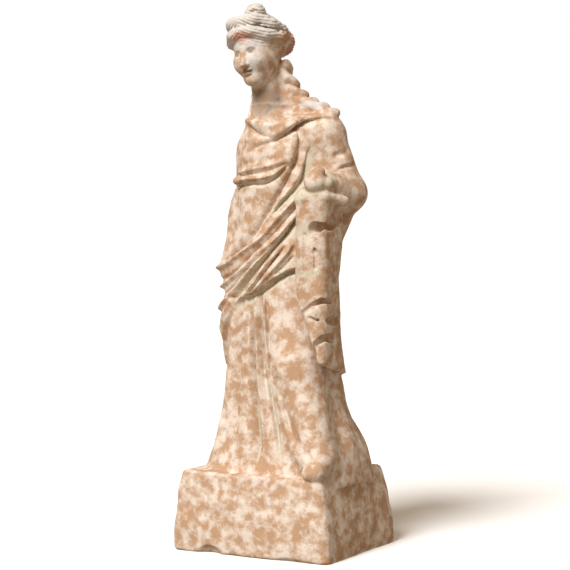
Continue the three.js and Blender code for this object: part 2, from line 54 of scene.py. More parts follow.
def limb(p, start, end, start_radius, end_radius):
    axis = np.subtract(end, start)
    out = [p[k] - start[k] for k in range(3)]
    t = np.clip((out[0] * axis[0] + out[1] * axis[1] + out[2] * axis[2]) / (axis @ axis), 0, 1)
    off = np.sqrt((out[0] - t * axis[0]) ** 2 + (out[1] - t * axis[1]) ** 2 + (out[2] - t * axis[2]) ** 2)
    return off - start_radius - (end_radius - start_radius) * t


def roll(p, places, start_radius, end_radius):
    last = len(places) - 1
    radii = np.linspace(start_radius, end_radius, last + 1)
    depth = limb(p, places[0], places[1], radii[0], radii[1])
    for i in range(1, last):
        depth = np.minimum(depth, limb(p, places[i], places[i + 1], radii[i], radii[i + 1]))
    return depth


def slab(p, centre, half, edge):
    over = [np.abs(p[k] - centre[k]) - half[k] + edge for k in range(3)]
    outside = np.sqrt(sum(np.maximum(v, 0) ** 2 for v in over))
    return outside + np.minimum(np.maximum(np.maximum(over[0], over[1]), over[2]), 0) - edge


def join(a, b, softness):
    overlap = np.maximum(softness - np.abs(a - b), 0) / softness
    return np.minimum(a, b) - overlap * overlap * softness / 4


def cut(a, tool, softness):
    return -join(-a, tool, softness)


def ease(low, high, value):
    t = np.clip((value - low) / (high - low), 0, 1)
    return t * t * (3 - 2 * t)


def curve_through(places, x):
    along, value = np.array(places, float).T
    high = np.clip(np.searchsorted(along, x), 1, len(along) - 1)
    low = high - 1
    before = np.maximum(high - 2, 0)
    after = np.minimum(high + 1, len(along) - 1)
    span = along[high] - along[low]
    t = np.clip((x - along[low]) / span, 0, 1)
    start = (value[high] - value[before]) / (along[high] - along[before]) * span
    end = (value[after] - value[low]) / (along[after] - along[low]) * span
    bend = t * (1 - t) * ((1 - t) * start - t * end)
    return value[low] + (value[high] - value[low]) * t * t * (3 - 2 * t) + bend


dice = np.random.default_rng(31)
GRAIN = dice.uniform(-1, 1, (64, 64, 64)).astype(np.float32)


def lumps(p, size):
    spot = [p[k] / size + 17.3 for k in range(3)]
    cell = [np.floor(v).astype(np.int64) for v in spot]
    t = [v - c for v, c in zip(spot, cell)]
    t = [v * v * (3 - 2 * v) for v in t]
    total = 0
    for corner in range(8):
        step = [(corner >> k) & 1 for k in range(3)]
        share = 1
        for k in range(3):
            share = share * (t[k] if step[k] else 1 - t[k])
        total = total + share * GRAIN[tuple((cell[k] + step[k]) & 63 for k in range(3))]
    return total


# The dress and mantle as a column: x, y, then its reach to her left, right, front and back, and how square it is
STATIONS = [
    (32, 2, 0, 35, 36.5, 26, 31, 3.4),
    (43, 2, 0, 33, 34, 23, 29, 3),
    (60, 1, 0, 27, 29.5, 20, 21.5, 2.6),
    (82, -1, 0, 25, 25.5, 18, 20, 2.5),
    (105, -2, 0, 23, 24.5, 17, 17.5, 2.4),
    (125, -3, 0, 21, 20.5, 15.5, 16, 2.3),
    (150, -3, 0, 17.5, 16, 12.8, 13.5, 2.2),
    (170, -3, 0, 16.5, 15, 12.2, 12, 2.1),
    (186, -4, -1, 12.5, 11, 8.5, 8.5, 2),
    (194, -6, -3, 6, 6, 5, 5, 2),
]
LEVELS = np.linspace(30, 196, 665)
PROFILES = [curve_through([(row[0], row[k]) for row in STATIONS], LEVELS) for k in range(1, 8)]


def column(p):
    middle_x, middle_y, left, right, front, back, square = [np.interp(p[2], LEVELS, row) for row in PROFILES]
    x, y = p[0] - middle_x, p[1] - middle_y
    reach_x = np.where(x > 0, left, right)
    reach_y = np.where(y > 0, back, front)
    share = (np.abs(x / reach_x) ** square + np.abs(y / reach_y) ** square) ** (1 / square)
    degrees = np.degrees(np.arctan2(x, -y))
    return np.maximum((share - 1) * np.minimum(reach_x, reach_y), p[2] - STATIONS[-1][0]), degrees


# Folds run through places given as degrees round from her front and a height. A fold stands up by its rise,
# or is cut in where that is negative, and falls away over its width below and its width above.
DEGREE = 0.4
MANTLE_THICKNESS = 1.8
MANTLE_FOLDS = [
    # The rolled edge round the neck and the crease under it
    ([(-110, 191), (-47, 189), (-9, 187.3), (15, 186.8), (43, 187.6), (74, 190.4), (110, 193)], 1.5, 2.8, 0.9),
    ([(-46, 186), (-22, 183), (-4, 181.7), (13, 181.5)], -1.3, 0.7, 1.3),
    ([(-60, 183.5), (-41, 180.3), (-10, 179.4), (8, 179.6)], 0.6, 1.6, 1.6),
    # The long crease from the left shoulder across the breast, deepest near the shoulder
    ([(-43, 174), (-22, 176.3), (0, 178.2), (16, 179), (30, 180.4), (49, 182.7), (73, 187), (84, 189)], -0.9, 0.7, 1.1),
    ([(22, 179.6), (30, 180.4), (49, 182.7), (73, 187), (84, 189)], -1.3, 0.8, 0.8),
    ([(5, 182), (30, 183.4), (49, 186), (73, 190.4)], 1.1, 1.6, 1.4),
    # The breasts under the cloth, and the soft creases drawn below them
    ([(22, 172), (38, 173), (54, 175)], 1.2, 4.5, 4.5),
    ([(-45, 171), (-24, 171), (-5, 172)], 0.8, 4.5, 4.5),
    ([(-45, 169.4), (-33, 170), (1, 171.3), (26, 172.1)], -0.6, 0.6, 1.3),
    ([(-62, 166), (-30, 167), (-13, 167.7), (18, 169.4), (38, 170.8)], 0.9, 0.8, 1.3),
    ([(-64, 164.8), (-40, 164.9), (-13, 165.5), (18, 167.1), (36, 169.3)], -0.7, 0.5, 0.6),
    # The girdle: a rope of cloth with a deep ragged groove under it
    ([(-84, 162.4), (-66, 162.6), (-40, 163.1), (-8, 163.5), (18, 165), (35, 168)], 1.3, 0.7, 1),
    ([(-84, 160), (-55, 160.2), (-24, 161), (1, 161), (25, 164), (42, 168.6)], -1.7, 0.8, 0.7),
    # The valley from the left shoulder to the right hip, and the strip of cloth beyond it
    ([(-58, 127.5), (-42, 131.6), (-30, 134.4), (-17, 138.6), (-5, 142.8), (14, 149.4), (28, 155.2), (41, 161), (52, 167.4),
      (61, 174), (66, 182)], -2.5, 0.8, 2.2),
    ([(16, 147.6), (28, 152.8), (42, 158.2), (54, 163.8), (62, 169.5), (67, 177)], 0.8, 1.3, 1.2),
    ([(18, 147.6), (28, 150.8), (42, 154.8), (58, 159.8), (65, 164.3), (68, 168.5), (70, 172.5), (72, 178)], -1.9, 1, 1.1),
    # Folds fanning from the left fist to the right hip, looping up again behind it
    ([(-108, 132), (-92, 126), (-78, 123.8), (-62, 125), (-41, 129), (-6, 136), (10, 140.3), (25, 145.6), (40, 150.8),
      (53, 155.6), (62, 160)], 1.9, 1.2, 1.5),
    ([(-70, 118.6), (-42, 122.9), (-30, 126.2), (-11, 131), (13, 136.8), (31, 142), (48, 148.4), (62, 153)], -1.2, 0.6, 0.7),
    ([(-106, 122), (-90, 116.6), (-74, 115.2), (-58, 117), (-36, 121.6), (-19, 126.2), (1, 131.6), (21, 136.8), (35, 141.4),
      (57, 149)], 1.5, 1, 1.2),
    ([(-60, 112.6), (-46, 115.4), (-35, 118.8), (-18, 124.2), (4, 130), (26, 136.4), (46, 142.9)], -1.1, 0.55, 0.6),
    ([(-104, 111), (-88, 106.6), (-72, 105.6), (-56, 109), (-35, 116), (-24, 120.4), (-8, 126), (14, 132.6), (40, 141)],
     1.5, 1, 1.1),
    ([(-40, 111), (-26, 117), (-10, 122.8), (7, 128.2), (15, 130.9), (26, 134.3), (42, 139.6), (54, 145), (62, 150)],
     -3, 1, 0.9),
    ([(-72, 95), (-54, 105.6), (-44, 110.4), (-36, 113.6)], 0.9, 0.9, 1),
    # Tongues of cloth under the deep groove
    ([(-22, 113), (-8, 118.2), (1, 122.2), (15, 127.3), (27, 131.3), (36, 134.6)], 1.4, 0.8, 0.9),
    ([(-14, 114), (-2, 118.4), (14, 124.6), (24, 128.6), (33, 132.2)], -1.5, 0.5, 0.6),
    ([(-9, 114.4), (2, 117.6), (15, 122), (27, 126.6), (35, 129.9), (46, 134.6)], 1.8, 1.2, 1.3),
    ([(24, 121.8), (36, 125.2), (47, 129.2)], -1.2, 0.6, 0.7),
]

# The mantle's lower edge: high across the front, falling steeply at her right, level round the back
HEM = [
    (-180, 78), (-110, 78), (-86, 79), (-78, 84), (-71, 91), (-59, 98.5), (-45, 104.5), (-38, 109), (-20, 112),
    (-2, 114.6), (14, 117.6), (29, 121), (48, 124), (60, 122), (75, 95), (90, 79), (180, 78),
]

# The dress below it falls in upright pleats, given as heights and degrees
DRESS_FOLDS = [
    ([(46, -57), (69, -53), (107, -43)], 1.3, 2, 1.8),
    ([(45, -45), (69, -40), (107, -33)], -1.3, 1, 0.9),
    ([(44, -30), (69, -31), (107, -28)], 1, 1.3, 1.2),
    ([(44, -24), (69, -25.5), (107, -23)], -0.6, 0.6, 0.6),
    ([(46, -19), (69, -21), (107, -21)], 0.9, 1.2, 1.2),
    ([(40, -8), (49, -7), (58, -10), (70, -12), (80, -13), (108, -17)], -2.7, 1.9, 0.8),
    ([(42, 3), (56, -1), (70, -5), (90, -8), (110, -11)], 1.5, 0.9, 1.3),
    ([(44, 20), (53, 17), (64, 12), (80, 6), (92, 2), (108, -1)], -2.3, 1.5, 0.8),
    ([(46, 10), (60, 6), (76, 1), (100, -4)], -0.7, 0.6, 0.6),
    ([(82, 9), (92, 6.5), (100, 5), (112, 5)], 0.9, 0.8, 0.8),
    ([(78, 14), (92, 11), (112, 9)], -1.2, 0.8, 0.7),
    ([(43, 33), (56, 26), (72, 19)], 1, 1.2, 1.6),
    ([(42, 44), (52, 35), (66, 27)], -0.7, 1, 1),
    # Two slits pressed in beside the right leg
    ([(56, -54), (64, -53.5)], -1.1, 0.6, 0.7),
    ([(49, -53), (53, -51.5)], -0.9, 0.6, 0.6),
]

# Behind, where the mould was simple, there are only broad shallow pleats
BACK_TURNS = np.linspace(100, 250, 6) - 180
for turn in BACK_TURNS:
    foot, top = [t - 180 if t > 0 else t + 180 for t in (turn * 1.12, turn)]
    DRESS_FOLDS.append(([(44, foot), (76, top)], 0.9, 3.6, 3.6))


def fold_height(fold, along, across, unit_along, unit_across):
    path, rise, below, above = fold
    first, last = path[0][0], path[-1][0]
    fade = (last - first) * 0.15
    height = np.zeros_like(along)
    near = (along > first - fade) & (along < last + fade)
    along, across = along[near], across[near]
    steps = np.linspace(first - fade, last + fade, 240)
    line = curve_through(path, steps)
    slope = np.gradient(line, steps) * unit_across / unit_along
    share = ease(first - fade, first + fade, along) * ease(-last - fade, -last + fade, -along)
    off = (across - np.interp(along, steps, line)) * unit_across / np.hypot(1, np.interp(along, steps, slope))
    height[near] = rise * share * np.exp(-((off / np.where(off < 0, below, above)) ** 2))
    return height


# Lime and soil have set hard in the deepest grooves, given as the folds are, with a strength for a rise
MANTLE_LIME = [
    ([(18, 147.6), (28, 150.8), (42, 154.8), (58, 159.8), (65, 164.3), (68, 168.5), (70, 172.5), (72, 178)], 1, 1.6, 1.8),
    ([(-40, 111), (-26, 117), (-10, 122.8), (7, 128.2), (15, 130.9), (26, 134.3), (42, 139.6), (54, 145), (62, 151)],
     1, 1.5, 1.4),
    ([(-84, 160), (-55, 160.2), (-24, 161), (1, 161), (25, 164), (42, 168.6)], 0.8, 1, 1.2),
    ([(-22, 113), (-8, 117.5), (1, 121)], 0.8, 1.4, 1.4),
    ([(24, 122), (36, 125.2), (48, 128)], 0.8, 1.6, 2),
]
DRESS_LIME = [
    ([(40, -8), (49, -7), (58, -10), (70, -12), (80, -13), (112, -17)], 1, 1.3, 1.8),
    ([(40, 21), (53, 17), (64, 12), (80, 6), (92, 2), (112, -1)], 0.9, 1.2, 1.4),
]


def above_hem(degrees, z):
    steps = np.linspace(-180, 180, 721)
    line = curve_through(HEM, steps)
    slope = np.gradient(line, steps) / DEGREE
    return (z - np.interp(degrees, steps, line)) / np.hypot(1, np.interp(degrees, steps, slope))


def lime_in_folds(degrees, z):
    above = above_hem(degrees, z)
    mantle = ease(-0.4, 0.8, above)
    front = ease(-48, -30, degrees) * ease(-64, -50, -degrees)
    on_mantle = sum(fold_height(fold, degrees, z, DEGREE, 1) for fold in MANTLE_LIME)
    on_dress = sum(fold_height(fold, z, degrees, 1, DEGREE) for fold in DRESS_LIME)
    under_hem = front * np.exp(-(((above + 1.4) / 2) ** 2))
    return np.clip(mantle * on_mantle + (1 - mantle) * np.maximum(on_dress, under_hem), 0, 1)


def cloth_relief(degrees, z):
    above = above_hem(degrees, z)
    mantle = ease(-0.4, 0.8, above)
    mantle_folds = sum(fold_height(fold, degrees, z, DEGREE, 1) for fold in MANTLE_FOLDS)
    dress_folds = sum(fold_height(fold, z, degrees, 1, DEGREE) for fold in DRESS_FOLDS)
    recess = ease(-60, 45, degrees) * ease(-66, -50, -degrees) * np.exp(-(((above + 1.3) / 1.2) ** 2))
    return mantle * (MANTLE_THICKNESS + mantle_folds) + (1 - mantle) * (dress_folds - 2 * recess)


# The mantle's end hangs in front of her left side, hollowed along the zigzag of its hem
CASCADE_SIDE = [(78, 26.6), (84, 26), (94, 24.9), (106, 24.3), (120, 23.6), (131, 25.2), (140, 27.5)]
CASCADE_HOLLOWS = [
    ([(20.6, -22.6, 102.5), (21.2, -22.6, 105.6), (25.4, -22.4, 108.4), (29, -20.6, 111), (31.6, -15, 110.6)], 1.1, 1.5),
    ([(24, -22.6, 103.6), (28, -21.2, 102.8), (31, -17, 102.2), (31.8, -10, 101.6)], 0.6, 2.3),
    ([(27, -21.6, 88), (27.4, -21.4, 92.6), (29.4, -20, 95.2), (31.8, -14, 94.6)], 1, 2.3),
    ([(22, -22.8, 139), (21.6, -22.8, 122)], 0.9, 0.7),
    ([(26.8, -22.2, 133), (27.2, -22, 125)], 0.9, 0.8),
    ([(31.4, -14, 138), (31.2, -12, 118)], 0.9, 0.6),
]


def cascade(p):
    depth = slab(p, (23.6, -12, 114.5), (7.6, 10.6, 44.5), 4)
    rim = 83.5 + 2.6 * np.maximum(28.6 - p[0], 0) - 0.25 * (p[1] + 20)
    depth = cut(depth, (p[2] - rim) / math.hypot(1, 1.3), 1)
    heights, reaches = zip(*CASCADE_SIDE)
    depth = cut(depth, np.interp(p[2], heights, reaches) - 0.875 * p[0] - 0.485 * p[1], 2.5)
    for path, start, end in CASCADE_HOLLOWS:
        depth = cut(depth, roll(p, path, start, end), 0.5)
    return depth


# Her left arm, wrapped in the mantle to the fist
ARM_CREASES = [
    ([(19, -9.5, 180.5), (22, -8, 183), (25, -5, 185), (31, 3, 186.5)], 0.9, 1.1),
    ([(22, -8.5, 170.5), (27, -5.5, 172.5), (31, 0, 175), (33, 5, 178)], 1.5, 2),
    ([(27, -6, 166), (31, 0, 168.8), (34.5, 8, 170)], 0.8, 0.9),
    ([(30, -12, 168), (32.5, -9, 165), (35, -4, 163.5)], 0.6, 0.7),
]
FIST_CREASES = [
    ([(23, -25.5, 165), (24, -26, 160), (22.5, -25, 155)], 0.7, 0.6),
    ([(27, -26, 167), (27.6, -26.5, 162), (27, -26, 158)], 0.6, 0.6),
    ([(30.6, -24, 166.5), (31.4, -23.5, 161.5), (30.8, -23.5, 157.5)], 0.8, 0.6),
]


def left_arm(p):
    shoulder, elbow, wrist = (18.5, 2, 182), (28.8, 5, 157), (27, -14, 160)
    depth = limb(p, shoulder, elbow, 9, 7.3)
    depth = join(depth, limb(p, (15, -1, 178), (19, -1, 148), 6, 7), 4)
    depth = join(depth, limb(p, elbow, (19, 6, 132), 6, 4), 3)
    depth = join(depth, limb(p, elbow, wrist, 7.5, 6), 4)
    depth = join(depth, limb(p, elbow, (24, -18, 151), 6, 4.5), 4)
    for path, start, end in ARM_CREASES:
        depth = cut(depth, roll(p, path, start, end), 1)
    fist = join(ball(p, (26, -20, 161.5), (5, 5.2, 5)), ball(p, (30.8, -18, 161), (2.4, 2.6, 2.6)), 1)
    fist = join(fist, ball(p, (27, -20, 166), (3.2, 3, 2.6)), 1)
    for path, start, end in FIST_CREASES:
        fist = cut(fist, roll(p, path, start, end), 0.6)
    depth = join(depth, fist, 0.8)
    return join(depth, roll(p, [(17.5, -20.5, 154), (24, -21.6, 154.8), (30, -19, 156), (34.5, -10, 153.5)], 1.7, 2.2), 1.2)


def draped_body(p):
    depth, degrees = column(p)
    left_knee, left_heel = (13, -12.5, 82), (27, -20, 43)
    depth = join(depth, limb(p, (18.5, 2, 182), (-14, 3, 176), 8, 6.5), 8)
    depth = join(depth, limb(p, (-14, 3, 176), (-20.5, 4, 148), 6.5, 6), 6)
    depth = join(depth, limb(p, (-20.5, 4, 148), (-24, -3, 124), 6, 4.5), 6)
    depth = join(depth, limb(p, (5, -2, 118), left_knee, 13, 9), 6)
    depth = join(depth, limb(p, left_knee, left_heel, 9, 8), 6)
    depth = join(depth, limb(p, left_heel, (31, -28.5, 39), 7, 4), 3)
    crumb = 0.35 * lime_in_folds(degrees, p[2]) * np.maximum(lumps(p, 1.1), -0.6)
    depth = depth - cloth_relief(degrees, p[2]) - crumb
    depth = join(depth, ball(p, (-18.5, -9.5, 162.5), (2.2, 2.2, 1.8)), 0.8)
    depth = join(depth, cascade(p), 1 + 2.5 * ease(140, 154, p[2]))
    depth = join(depth, left_arm(p), 1.6)
    depth = cut(depth, limb(p, (26.5, -22.5, 141.5), (33, -7, 147), 2.8, 4), 0.7)
    depth = join(depth, ball(p, (29.5, -28, 37.5), (5.4, 4.6, 3.8)), 1)
    depth = cut(depth, roll(p, [(24, -30.5, 40.5), (27, -32, 43), (32, -31.5, 43.5)], 0.8, 0.7), 0.6)
    return cut(depth, ball(p, (18.6, -22.6, 85.4), (0.9, 1.4, 1.8)), 0.5)


# The head has its own frame: x to her left, -y forward, z up, with the chin 15 below the centre
HEAD_PLACE = Matrix.Translation((-9.8, -7, 219.5))
HEAD_PLACE = HEAD_PLACE @ Matrix.Rotation(math.radians(-8), 4, "Z") @ Matrix.Rotation(math.radians(-10), 4, "Y")
HEAD_PLACE = np.array((HEAD_PLACE @ Matrix.Rotation(math.radians(8), 4, "X")).inverted())


def face(q, side):
    depth = ball(q, (0, 1.5, 2.5), (9.8, 11.8, 12))
    depth = join(depth, ball(q, (0, -2.5, -4.5), (8.2, 9, 10.6)), 4)
    depth = join(depth, ball(q, (0, -8, -12), (3.8, 3.5, 3.2)), 3)
    depth = join(depth, ball(side, (4.2, -7.4, -4.2), (3.6, 3.6, 3.6)), 3)
    depth = cut(depth, ball(side, (3.9, -12.6, 0.2), (3.1, 2.6, 1.7)), 1)
    depth = join(depth, ball(side, (3.8, -9.3, 0), (2.1, 1.6, 1.2)), 0.4)
    depth = cut(depth, roll(side, [(1.9, -11, -0.1), (3.8, -11.4, 0.9), (5.9, -9.6, 0.1)], 0.35, 0.35), 0.3)
    depth = join(depth, limb(q, (0, -10.8, 1.5), (0, -13.2, -5), 1, 1.5), 1)
    depth = join(depth, ball(side, (1.4, -11.4, -5.2), (1.1, 1.4, 0.9)), 0.6)
    depth = join(depth, ball(q, (0, -11.2, -7.7), (2.7, 1.3, 0.8)), 0.4)
    depth = join(depth, ball(q, (0, -11, -9.4), (2.2, 1.3, 0.9)), 0.4)
    return cut(depth, roll(side, [(0, -12.7, -8.5), (2.6, -11.2, -8.4)], 0.45, 0.3), 0.3)


# The hair is swept back from a parting in two thick waves to a knot behind, with a tuft on the crown
WAVES = [
    ([(0, -9.4, 9.2), (5, -8.8, 8.6), (9.4, -4.5, 5.8), (11, 3, 4), (8, 11, 3)], 2.4, 2.8),
    ([(0, -7.2, 13.2), (6.2, -5.4, 13.6), (10.2, 0, 9.6), (9.5, 8, 6.5)], 3, 2.8),
]


def hair(q, side):
    depth = ball(q, (0, 3, 4.5), (11.6, 13.4, 12))
    for path, start, end in WAVES:
        depth = join(depth, roll(side, path, start, end), 1)
    depth = join(depth, ball(q, (2.5, 1, 16.6), (4.6, 4.6, 4)), 2)
    depth = join(depth, ball(q, (1, 17.5, 2.5), (6, 6.2, 6.4)), 2)
    depth = cut(depth, roll(q, [(4, -3.5, 17), (8, -1, 14.5), (10.5, 3, 11)], 1.2, 0.9), 0.6)
    depth = cut(depth, roll(side, [(7, -6, 11), (10.8, -1, 8), (12.2, 5, 6)], 0.9, 1.1), 0.6)
    combed = np.sin(4.2 * (q[2] + 0.6 * side[0]) + 1.5 * lumps(q, 4))
    return depth - 0.22 * combed - 0.3 * lumps(q, 1.7)


def head(p):
    q = [HEAD_PLACE[k, 0] * p[0] + HEAD_PLACE[k, 1] * p[1] + HEAD_PLACE[k, 2] * p[2] + HEAD_PLACE[k, 3] for k in range(3)]
    side = [np.abs(q[0]), q[1], q[2]]
    return join(face(q, side), hair(q, side), 0.8)


# A twisted lock falls from behind each ear to the shoulder: two strands wound round one path
LOCKS = [
    ([(-1, -0.5, 213.5), (2.5, 1.5, 204), (8, 2.5, 198), (15, 2, 195), (22, 2.5, 191.5)], 2.5, 1.7, 2.6),
    ([(-14, 3, 212), (-15, 2, 203), (-16, 1.5, 196), (-16.5, -0.5, 190)], 1.8, 0.9, 2.4),
]


def lock(p, path, radius, offset, turns):
    knots = np.linspace(0, 1, len(path))
    t = np.linspace(0, 1, 17)
    middle = [curve_through(list(zip(knots, axis)), t) for axis in zip(*path)]
    strands = []
    for start in (0, math.pi):
        angle = start + 2 * math.pi * turns * t
        sway = offset * np.cos(angle), offset * np.sin(angle), offset * np.sin(angle) / 2
        strands.append(roll(p, list(zip(*[m + w for m, w in zip(middle, sway)])), radius, radius * 0.85))
    return join(strands[0], strands[1], 0.4)


# Knocks along the base's edges
CHIPS = [
    ((-19, -34, -1), (6, 3.5, 4.5)),
    ((20, -34.5, -1), (8, 2.5, 2.5)),
    ((39.5, 5, -1), (2.5, 9, 3)),
    ((39.5, -34, 34), (5, 5, 6)),
]


def block_base(p):
    width, depth_of, height, corner, rim = 77.6, 67, 35, 3.2, 1.6
    rise = (p[2] / height) ** 2
    lean_right, lean_left = 3.1 * rise, 5.5 * rise
    x = np.abs(p[0] - (lean_right - lean_left) / 2) - (width - lean_right - lean_left) / 2
    y = np.abs(p[1]) - depth_of / 2 + lean_right
    u, v = x + corner, y + corner
    plan = np.hypot(np.maximum(u, 0), np.maximum(v, 0)) + np.minimum(np.maximum(u, v), 0) - corner
    level = np.abs(p[2] - height / 2) - height / 2
    m, n = plan + rim, level + rim
    depth = np.hypot(np.maximum(m, 0), np.maximum(n, 0)) + np.minimum(np.maximum(m, n), 0) - rim
    for centre, radii in CHIPS:
        depth = cut(depth, ball(p, centre, radii), 1)
    return depth - 0.4 * lumps(p, 7)


def clay(p):
    depth = np.full(p.shape[1], 50.0)
    robed = (p[2] > 30) & (p[2] < 200)
    depth[robed] = draped_body(p[:, robed])
    upper = p[2] > 175
    top = p[:, upper]
    neck = join(depth[upper], limb(top, (-4.5, -1.5, 184), (-7.5, -4, 205), 7, 6.5), 2)
    neck = join(neck, roll(top, [(-5, 0, 211), (-2, 1, 202), (4, 2, 194), (13, 3, 189)], 5, 5), 2)
    neck = join(neck, limb(top, (-13, 1, 209), (-13.5, 0.5, 190), 3, 3), 2)
    for path, radius, offset, turns in LOCKS:
        neck = join(neck, lock(top, path, radius, offset, turns), 0.6)
    depth[upper] = join(neck, head(top), 1)
    lower = p[2] < 60
    depth[lower] = join(depth[lower], block_base(p[:, lower]), 1.5)
    return np.maximum(depth - 0.2 * lumps(p, 6) - 0.1 * lumps(p, 2.2), -p[2])


# The skin is found on a grid that is halved again and again near it
FINEST = 0.4
spacing = 3.2
low = np.array([-44.0, -38.0, -2.4])
count = (28, 24, 77)
depths = None
while True:
    axes = [low[k] + spacing * np.arange(count[k]) for k in range(3)]
    if depths is None:
        depths = np.full(count, 1e3, np.float32)
        near = np.ones(count, bool)
    else:
        depths = depths.repeat(2, 0).repeat(2, 1).repeat(2, 2)
        near = np.abs(depths) < spacing * 3.2
    spots = np.nonzero(near)
    depths[spots] = clay(np.array([axes[k][spots[k]] for k in range(3)]))
    if spacing <= FINEST:
        break
    spacing /= 2
    low = low - spacing / 2
    count = tuple(2 * n for n in count)

grid = openvdb.FloatGrid(3 * spacing)
grid.copyFromArray(np.clip(depths, -3 * spacing, 3 * spacing))
points, quads = grid.convertToQuads(0.0)
points = low + points * spacing
points[np.abs(points[:, 2]) < 0.1, 2] = 0

raw = bpy.data.meshes.new("raw_skin")
raw.from_pydata((points / 1000).tolist(), [], quads[:, ::-1].tolist())
raw_object = bpy.data.objects.new("raw_skin", raw)
bpy.context.collection.objects.link(raw_object)
on_head = raw_object.vertex_groups.new(name="on_head")
on_head.add(np.nonzero(points[:, 2] > 188)[0].tolist(), 1, "REPLACE")
TRIANGLES = 190000
thinning = raw_object.modifiers.new("thinning", "DECIMATE")
thinning.ratio = min(1, TRIANGLES / (2 * len(quads)))
thinning.vertex_group = "on_head"
thinning.invert_vertex_group = True
thinning.vertex_group_factor = 2
mesh = bpy.data.meshes.new_from_object(raw_object.evaluated_get(bpy.context.evaluated_depsgraph_get()))
mesh.name = "statuette_skin"
bpy.data.objects.remove(raw_object)
skin = bpy.data.objects.new("statuette_skin", mesh)
bpy.context.collection.objects.link(skin)
mesh.shade_smooth()
print("skin faces", len(mesh.polygons), "triangles", sum(len(f.vertices) - 2 for f in mesh.polygons))

# How hollow or worn each spot is, for painted shade in the hollows and a painted highlight along with the wear on
# ridges and edges, and where slip, paint, soil and lime are left on it, with a painted shadow under the chin
spot = np.empty(3 * len(mesh.vertices))
mesh.vertices.foreach_get("co", spot)
spot = spot.reshape(-1, 3).T * 1000
outward = np.empty(3 * len(mesh.vertices))
mesh.vertex_normals.foreach_get("vector", outward)
outward = outward.reshape(-1, 3).T
REACH = 1.6
# How closed in each spot is; it darkens the hollows as painted shade, with some dirt in them
hollow_shade = np.clip((REACH - clay(spot + REACH * outward)) / REACH, 0, 1)
# How thin and sharp each spot is; edges are made paler for real wear and as a painted highlight
worn_and_highlit = np.clip((REACH + clay(spot - REACH * outward)) / REACH, 0, 1)


def patch(p, centre, radii):
    return np.exp(-sum(((p[k] - centre[k]) / radii[k]) ** 2 for k in range(3)))


_, spot_degrees = column(spot)
q = [HEAD_PLACE[k, 0] * spot[0] + HEAD_PLACE[k, 1] * spot[1] + HEAD_PLACE[k, 2] * spot[2] + HEAD_PLACE[k, 3] for k in range(3)]
headward = ease(197, 204, spot[2])
crumbly = lime_in_folds(spot_degrees, spot[2]) * ease(30, 40, spot[2]) * ease(-192, -186, -spot[2])
edge_line = roll(spot, [(15.8, -22, 140), (15.6, -22, 126), (15.8, -22, 112), (18, -22, 104), (22, -22, 96)], 0.4, 0.4)
crumbly = np.maximum(crumbly, np.exp(-((np.maximum(edge_line, 0) / 1.6) ** 2)))
slip = headward * (0.9 * ease(2, 7, q[2] - 0.25 * q[1]) + 0.5 * ease(-3, 4, q[0]) * ease(2, 9, -q[1]))
slip = np.maximum(slip, 0.8 * patch(spot, (14, 0, 196), (7, 6, 3)))
slip = np.maximum(slip, 0.6 * patch(spot, (4, -34, 33), (26, 5, 3)))
rust = 0.9 * patch(q, (0.5, -10, 7.4), (6, 4, 2.6)) + 0.7 * patch(q, (1, 2, 20), (4, 5, 2.4))
rust = rust + 0.7 * patch(q, (3, 18, 2), (7, 6, 8)) + 0.4 * patch(q, (0, -13, 1), (1.6, 3, 5))
# The neck is darkened as a painted shadow under the chin, with some staining; dark soil is left in the eyes, the mouth
# and behind the ear
soil_and_shadow = 0.75 * ease(187, 191, spot[2]) * ease(-207, -201, -spot[2]) * patch(spot, (-6, -4, 198), (9, 12, 12))
soil_and_shadow = soil_and_shadow + 0.9 * patch(q, (4, -10.5, 0.8), (2.2, 3, 1.3)) + 0.8 * patch(q, (-4, -10.5, 0.8), (2.2, 3, 1.3))
soil_and_shadow = soil_and_shadow + 0.8 * patch(q, (0.6, -12, -8.4), (3, 3, 2.2)) + 0.6 * patch(q, (8, 2, 2), (4, 6, 4))
for name, value in [("hollow_shade", hollow_shade), ("worn_and_highlit", worn_and_highlit), ("lime", crumbly), ("slip", slip), ("rust", rust), ("soil_and_shadow", soil_and_shadow)]:
    layer = mesh.attributes.new(name, "FLOAT", "POINT")
    layer.data.foreach_set("value", np.clip(value, 0, 1).astype(np.float32))

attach(skin, "root")
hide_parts("statuette")

fired_clay = bpy.data.materials.new("fired_clay")
fired_clay.use_nodes = True
nodes, links = fired_clay.node_tree.nodes, fired_clay.node_tree.links
surface = nodes["Principled BSDF"]
surface.inputs["Roughness"].default_value = 0.9
surface.inputs["Specular IOR Level"].default_value = 0.25
place = nodes.new("ShaderNodeTexCoord")


def noise(scale, detail):
    node = nodes.new("ShaderNodeTexNoise")
    node.inputs["Scale"].default_value = scale
    node.inputs["Detail"].default_value = detail
    node.inputs["Roughness"].default_value = 0.62
    links.new(place.outputs["Object"], node.inputs["Vector"])
    return node.outputs["Fac"]


def ramp(value, low_end, high_end, start=0, end=1):
    node = nodes.new("ShaderNodeMapRange")
    for socket, number in zip(("From Min", "From Max", "To Min", "To Max"), (low_end, high_end, start, end)):
        node.inputs[socket].default_value = number
    links.new(value, node.inputs["Value"])
    return node.outputs["Result"]


def maths(operation, first, second):
    node = nodes.new("ShaderNodeMath")
    node.operation = operation
    for socket, value in zip(node.inputs, (first, second)):
        if isinstance(value, (int, float)):
            socket.default_value = value
        else:
            links.new(value, socket)
    return node.outputs["Value"]


def left_on(name):
    node = nodes.new("ShaderNodeAttribute")
    node.attribute_name = name
    return node.outputs["Fac"]


